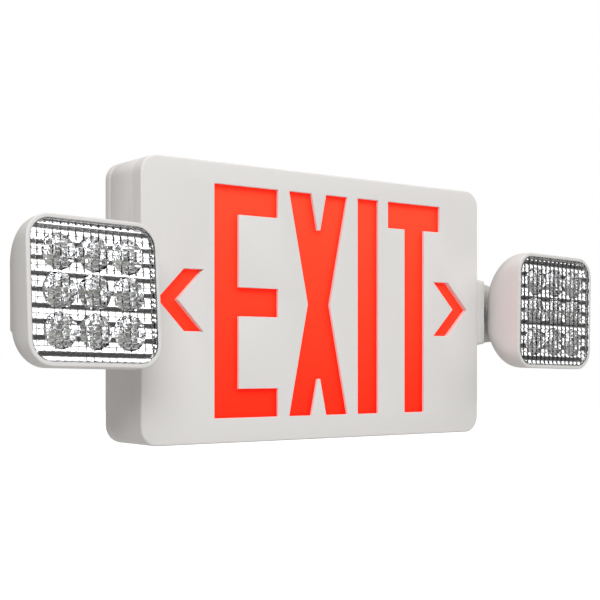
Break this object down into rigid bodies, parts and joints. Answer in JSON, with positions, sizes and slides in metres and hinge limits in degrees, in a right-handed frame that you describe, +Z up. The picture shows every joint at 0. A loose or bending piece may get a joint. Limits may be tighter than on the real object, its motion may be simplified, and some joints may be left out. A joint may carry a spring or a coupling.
{
  "type": "emergency exit light",
  "caption": "Wall-mounted exit sign with a lit stencilled word and open side arrows, and a square adjustable lamp head on a neck at each end.",
  "frame": {"origin": "centre of the back plate's wall face, midway between its two junction-box screw holes", "axes": "+Y into the wall, so the lettered face looks along -Y; +X to the viewer's right; +Z up"},
  "size_m": [0.4785, 0.0871, 0.1842],
  "materials": {
    "battery_wrap": "blue shrink sleeve",
    "board_green": "green solder mask",
    "board_white": "white solder mask",
    "bright_reflector": "metallised, mirror bright",
    "button_white": "smooth moulding",
    "capacitor_can": "sleeved can",
    "clear_lens": "clear, fluted inside",
    "dark_plastic": "black moulding",
    "head_white": "fine satin moulding",
    "housing_white": "fine satin moulding",
    "lamp_red": "tinted dome",
    "lead_red": "plastic insulation",
    "legend_red": "translucent red, lit",
    "red_led": "small surface-mount chips",
    "reflective_white": "smooth white",
    "steel_core": "varnished laminations and a taped coil",
    "terminal_plastic": "green moulding",
    "white_led": "phosphor under a clear dome",
    "zinc_steel": "bright zinc"
  },
  "bodies": {
    "housing": {"back_plate": "housing_white", "battery_connector": "dark_plastic", "battery_lead": "lead_red", "battery_pack": "battery_wrap", "battery_strap": "zinc_steel", "capacitors": "capacitor_can", "driver_board": "board_green", "driver_board_screws": "zinc_steel", "frame_screws": "zinc_steel", "front_cover": "housing_white", "housing_frame": "housing_white", "left_arm": "housing_white", "left_arm_cover": "housing_white", "left_arm_screws": "zinc_steel", "legend_panel": "legend_red", "light_box": "reflective_white", "light_box_screws": "zinc_steel", "relay": "dark_plastic", "right_arm": "housing_white", "right_arm_cover": "housing_white", "right_arm_screws": "zinc_steel", "sign_led_board_bottom": "board_white", "sign_led_board_top": "board_white", "sign_leds_bottom": "red_led", "sign_leds_top": "red_led", "status_lamp": "lamp_red", "strap_screws": "zinc_steel", "terminal_block": "terminal_plastic", "test_switch": "dark_plastic", "transformer": "steel_core"},
    "test_button": {"test_button": "button_white"},
    "left_swivel": {"left_swivel_stud": "zinc_steel", "left_swivel_washer": "head_white", "left_swivel_saddle": "zinc_steel", "left_spring_washer": "zinc_steel", "left_swivel_nut": "zinc_steel"},
    "left_head": {"left_head_shell": "head_white", "left_lens": "clear_lens", "left_reflector": "bright_reflector", "left_head_board": "board_white", "left_head_leds": "white_led", "left_head_screws": "zinc_steel"},
    "right_swivel": {"right_swivel_stud": "zinc_steel", "right_swivel_washer": "head_white", "right_swivel_saddle": "zinc_steel", "right_spring_washer": "zinc_steel", "right_swivel_nut": "zinc_steel"},
    "right_head": {"right_head_shell": "head_white", "right_lens": "clear_lens", "right_reflector": "bright_reflector", "right_head_board": "board_white", "right_head_leds": "white_led", "right_head_screws": "zinc_steel"}
  },
  "joints": [
    {"name": "button_press", "type": "slide", "parent": "housing", "child": "test_button", "axis": [0, 0, 1], "range_m": [0, 0.0016], "stiffness_N_per_m": 400},
    {"name": "left_pan", "type": "hinge", "parent": "housing", "child": "left_swivel", "pos_m": [-0.1952, -0.0667, 0], "axis": [0, 0, 1], "range_deg": [-27.6, 17.4]},
    {"name": "left_tilt", "type": "hinge", "parent": "left_swivel", "child": "left_head", "pos_m": [-0.1952, -0.0667, 0], "axis": [0.9988, 0.0454, -0.0209], "range_deg": [-14.5, 25.5]},
    {"name": "right_pan", "type": "hinge", "parent": "housing", "child": "right_swivel", "pos_m": [0.1952, -0.0667, 0], "axis": [0, 0, 1], "range_deg": [-22.6, 22.4]},
    {"name": "right_tilt", "type": "hinge", "parent": "right_swivel", "child": "right_head", "pos_m": [0.1952, -0.0667, 0], "axis": [0.9988, 0.0454, -0.0209], "range_deg": [-20, 20]}
  ]
}
